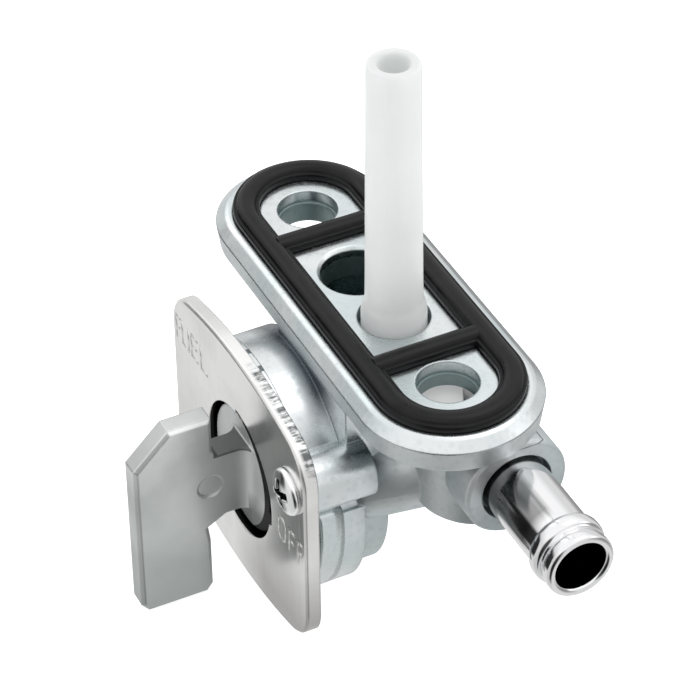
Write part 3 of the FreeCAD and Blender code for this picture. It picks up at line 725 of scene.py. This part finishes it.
def plate_finish():
    """Stamped steel: upright brushing, a torn strip on the sheared edge, a painted dark reflection on the lower
    face, and painted shade on the wall in the window.
    """
    finish, tree, sockets, where = start_finish("stamped_steel", 1.0)
    smudge = place_group(tree, HANDLING, where, Size=110.0)["Smudge"]
    brush = noise(tree, stretched(tree, where, (1.0, 0.02, 0.05)), 2600.0, 3.0)
    torn = noise(tree, stretched(tree, where, (1.0, 0.25, 1.0)), 1500.0, 4.0, 0.7)
    x, y, z = axes(tree, where)
    strip = product(tree, ramp(tree, y, PLATE_FRONT + 0.5, PLATE_FRONT + 0.9), ramp(tree, z, -8.5, -6.5),
                    ramp(tree, x, 1.0, 3.0))
    # painted dark reflection of the blade on the plate's lower face
    low = product(tree, ramp(tree, z, -19.0, -30.0, 0.85), ramp(tree, x, -2.0, 6.0))
    window = from_axis(tree, away_from(tree, z, VALVE_Z), x)
    # painted shade: near black on the wall in the window
    wall = product(tree, below(tree, window, 8.6), above(tree, y, PLATE_FRONT + 0.12))
    back = ramp(tree, y, PLATE_FRONT + 1.5, PLATE_FRONT + 1.6, 0.22)
    face = blend_colour(tree, smudge, (0.88, 0.88, 0.87), (0.76, 0.755, 0.745))
    burrs = blend_colour(tree, remap(tree, torn, 0.42, 0.58, 0, 1), (0.16, 0.17, 0.17), (0.86, 0.87, 0.87))
    base = painted(tree, face, [(low, (0.30, 0.295, 0.285)), (strip, burrs), (wall, (0.03, 0.03, 0.03))])
    feed(tree, sockets["Base Color"], base)
    feed(tree, sockets["Roughness"], total(tree, remap(tree, brush, 0.3, 0.7, 0.17, 0.27),
                                           product(tree, strip, 0.1), back))
    height = total(tree, product(tree, brush, 0.05), product(tree, torn, strip))
    give_bump(tree, sockets, height, 0.5, 0.00012, 0.00022)
    return finish


def lever_layers(tree, where):
    """Layers of the lever: painted shade on the blade's foot and top edge, the tang's top, the rotor and the hub,
    and a painted highlight on the tang's side.

    The rotor and the gap round the hub, which the window leaves open, have painted shade, near black.
    """
    hub_x, hub_z, hub_r = -2.45, VALVE_Z - 0.8, 7.6
    x, y, z = axes(tree, where)
    hub = from_axis(tree, away_from(tree, x, hub_x), away_from(tree, z, hub_z))
    in_window = above(tree, y, PLATE_FRONT + 0.2)
    # painted shade: the blade darker towards its foot
    blade_foot_shade = ramp(tree, z, -9.0, -33.0)
    # painted shade along the blade's top edge
    blade_top_shade = ramp(tree, z, -9.25, -9.2, 0.5)
    # painted highlight: the tang's side lighter
    tang_side_highlight = product(tree, ramp(tree, y, PLATE_FRONT - 1.2, PLATE_FRONT - 0.4, 0.8),
                        ramp(tree, x, 1.3, 1.8))
    # painted shade on the tang's top
    tang_top_shade = product(tree, above(tree, z, VALVE_Z + 4.1), above(tree, y, PLATE_FRONT - 3.6),
                       below(tree, y, PLATE_FRONT + 0.55), 0.8)
    # painted shade: the rotor near black, inside the window
    rotor = ramp(tree, y, PLATE_FRONT + 0.8, PLATE_FRONT + 0.9)
    # painted shade on the hub's foot
    hub_foot_shade = product(tree, ramp(tree, z, VALVE_Z - 1.7, VALVE_Z - 4.7, 0.8), in_window)
    # painted shade: the gap round the hub near black
    window_gap_shade = product(tree, ramp(tree, hub, hub_r - 0.05, hub_r + 0.05), in_window)
    return [
        (blade_foot_shade, (0.46, 0.49, 0.48)),
        (blade_top_shade, (0.35, 0.36, 0.36)),
        (tang_side_highlight, (0.97, 0.98, 0.98)),
        (rotor, (0.03, 0.03, 0.03)),
        (hub_foot_shade, (0.24, 0.25, 0.25)),
        (window_gap_shade, (0.03, 0.03, 0.03)),
        (tang_top_shade, (0.12, 0.12, 0.12)),
    ]


def lever_finish():
    """Satin zinc casting, tinted in soft patches, with painted shade and a painted highlight from its layers, and
    duller towards the hub.
    """
    finish, tree, sockets, where = start_finish("lever_zinc", 1.0)
    skin = place_group(tree, CAST_GRAIN, where, Grain=700.0, Patch=60.0)
    smudge = place_group(tree, HANDLING, where, Size=120.0)["Smudge"]
    base = blend_colour(tree, skin["Patches"], (0.96, 0.97, 0.97), (0.88, 0.91, 0.90))
    base = blend_colour(tree, product(tree, smudge, 0.4), base, (0.50, 0.52, 0.52))
    y = axes(tree, where)[1]
    root = ramp(tree, y, -23.0, -19.5, 0.22)
    feed(tree, sockets["Base Color"], painted(tree, base, lever_layers(tree, where)))
    feed(tree, sockets["Roughness"], total(tree, remap(tree, smudge, 0, 1, 0.38, 0.46), root))
    give_bump(tree, sockets, skin["Height"], 0.10, 0.00005, 0.0003)
    return finish


FINISHES = {
    "zinc_casting": zinc_finish(),
    "seal_rubber": rubber_finish("seal_rubber", 0.004, 0.26),
    "milky_nylon": nylon_finish(),
    "bright_plating": plated_finish("bright_plating", (0.84, 0.84, 0.85), 0.10, layers=spout_layers),
    "plate_steel": plate_finish(),
    "lever_zinc": lever_finish(),
    "packing_rubber": rubber_finish("packing_rubber", 0.014, 0.5),
    "spring_steel": plated_finish("spring_steel", (0.45, 0.45, 0.46), 0.25),
    "screw_plating": plated_finish("screw_plating", (0.95, 0.95, 0.96), 0.20, 0.0001, screw_layers),
}


def dress_solids():
    """Gives each CAD node its finish through the slot its record names."""
    for part in frame["record"]["subparts"]:
        node = frame["nodes"][part["node"]]
        finish = FINISHES[part["material_slot"]]
        if not node.data.materials:
            node.data.materials.append(finish)
        for place in node.material_slots:
            place.material = finish


# Studio

def soft_box(name, place, aim, wide, high, watts):
    """Rectangular area light aimed at a point."""
    data = bpy.data.lights.new(name, "AREA")
    data.shape = "RECTANGLE"
    data.size = wide
    data.size_y = high
    data.energy = watts
    lamp = bpy.data.objects.new(name, data)
    lamp.location = place
    lamp.rotation_euler = (Vector(aim) - Vector(place)).to_track_quat("-Z", "Y").to_euler()
    bpy.context.scene.collection.objects.link(lamp)


def stage_floor():
    """Plain pale floor: glows a little so that it reads as white paper, and metal doesn't mirror it."""
    half = 3.0
    z = FLOOR_Z * MM
    mesh = bpy.data.meshes.new("floor")
    corners = [(-half, -half, z), (half, -half, z), (half, half, z), (-half, half, z)]
    mesh.from_pydata(corners, [], [(0, 1, 2, 3)])
    finish, _, sockets, _ = start_finish("floor_paper")
    sockets["Base Color"].default_value = (0.9, 0.9, 0.9, 1)
    sockets["Roughness"].default_value = 0.8
    sockets["Emission Color"].default_value = (1, 1, 1, 1)
    sockets["Emission Strength"].default_value = 0.7
    mesh.materials.append(finish)
    sheet = bpy.data.objects.new("floor", mesh)
    sheet.visible_glossy = False
    bpy.context.scene.collection.objects.link(sheet)


# Darker patches of the room: direction, cosine at the patch's rim, cosine where it is full, light left there
ROOM_PATCHES = {
    "right and low": ((0.80, -0.40, -0.45), 0.85, 0.95, 0.06),
    "right in front": ((0.75, -0.66, 0.00), 0.82, 0.93, 0.10),
    "front and low": ((0.10, -0.75, -0.65), 0.75, 0.95, 0.80),
    "left in front": ((-0.71, -0.70, -0.10), 0.91, 0.95, 0.03),
    "right behind": ((0.45, 0.85, -0.15), 0.80, 0.98, 0.40),
    "left behind": ((-0.60, 0.60, -0.45), 0.86, 0.98, 0.40),
}


def patch_mask(tree, where, toward, rim, full):
    """Mask of a round patch of the room, from 0 at its rim's cosine to 1 where it is full."""
    node = tree.nodes.new("ShaderNodeVectorMath")
    node.operation = "DOT_PRODUCT"
    tree.links.new(where, node.inputs[0])
    node.inputs[1].default_value = Vector(toward).normalized()
    return remap(tree, node.outputs["Value"], rim, full, 0, 1)


def room():
    """Light by direction: pale all round and brighter above, with soft darker patches."""
    world = bpy.data.worlds.new("studio_room")
    bpy.context.scene.world = world
    world.use_nodes = True
    tree = world.node_tree
    where = tree.nodes.new("ShaderNodeTexCoord").outputs["Generated"]
    z = axes(tree, where)[2]
    light = remap(tree, z, 0.35, 0.6, 0.80, 1.1)
    for toward, rim, full, left in ROOM_PATCHES.values():
        mask = patch_mask(tree, where, toward, rim, full)
        light = product(tree, remap(tree, mask, 0, 1, 1.0, left), light)
    background = tree.nodes["Background"]
    feed(tree, background.inputs["Strength"], light)
    background.inputs["Color"].default_value = (1, 1, 1, 1)


def studio():
    """Floor, room and soft boxes overhead, at the left and behind."""
    stage_floor()
    room()
    soft_box("top_box", place=(-0.08, 0.28, 0.75), aim=(0, 0, -0.01), wide=0.50, high=0.42, watts=0.6)
    soft_box("side_box", place=(-0.7, -0.1, 0.45), aim=(0, 0, -0.015), wide=0.30, high=0.5, watts=0.25)
    soft_box("back_box", place=(0.35, 0.75, 0.35), aim=(0, 0, -0.01), wide=0.5, high=0.35, watts=0.3)


# Camera, fitted to the photograph: angles in degrees, lengths in millimetres and the focal length in pixels
AZIMUTH = 64.117
ELEVATION = 39.267
ROLL = -0.689
DISTANCE = 365.03
MOVE_RIGHT = -2.775
MOVE_UP = -6.23
FOCAL_PIXELS = 3355.9
PHOTO_PIXELS = 700.0
SENSOR_WIDE = 36.0


def photo_camera():
    """Camera at the photograph's place, from the fitted view angles and distance."""
    az, el, roll = np.radians([AZIMUTH, ELEVATION, ROLL])
    back = np.array([np.sin(az) * np.cos(el), -np.cos(az) * np.cos(el), np.sin(el)])
    right = np.array([np.cos(az), np.sin(az), 0.0])
    up = np.cross(back, right)
    right, up = right * np.cos(roll) + up * np.sin(roll), up * np.cos(roll) - right * np.sin(roll)
    place = (DISTANCE * back + MOVE_RIGHT * right + MOVE_UP * up) * MM
    data = bpy.data.cameras.new("photo_camera")
    data.sensor_width = SENSOR_WIDE
    data.lens = SENSOR_WIDE * FOCAL_PIXELS / PHOTO_PIXELS
    data.clip_start = 0.02
    camera = bpy.data.objects.new("photo_camera", data)
    turn = Matrix(np.stack([right, up, back], axis=1).tolist())
    camera.matrix_world = Matrix.Translation(Vector(place)) @ turn.to_4x4()
    bpy.context.scene.collection.objects.link(camera)
    bpy.context.scene.camera = camera


dress_solids()
ladder_seal()
hose_spigot()
fuel_standpipe()
drum_pad()
screw_heads()
word("plate_word_fuel", -11.2, [("F", -16.0, 1.0), ("U", -14.4, 1.7), ("E", -11.9, 1.5), ("L", -9.4, 1.5)])
word("plate_word_off", -20.2, [("O", 10.2, 1.7), ("F", 12.9, 1.4), ("F", 15.1, 1.2)])
studio()
photo_camera()
bpy.context.scene.view_settings.view_transform = "Standard"
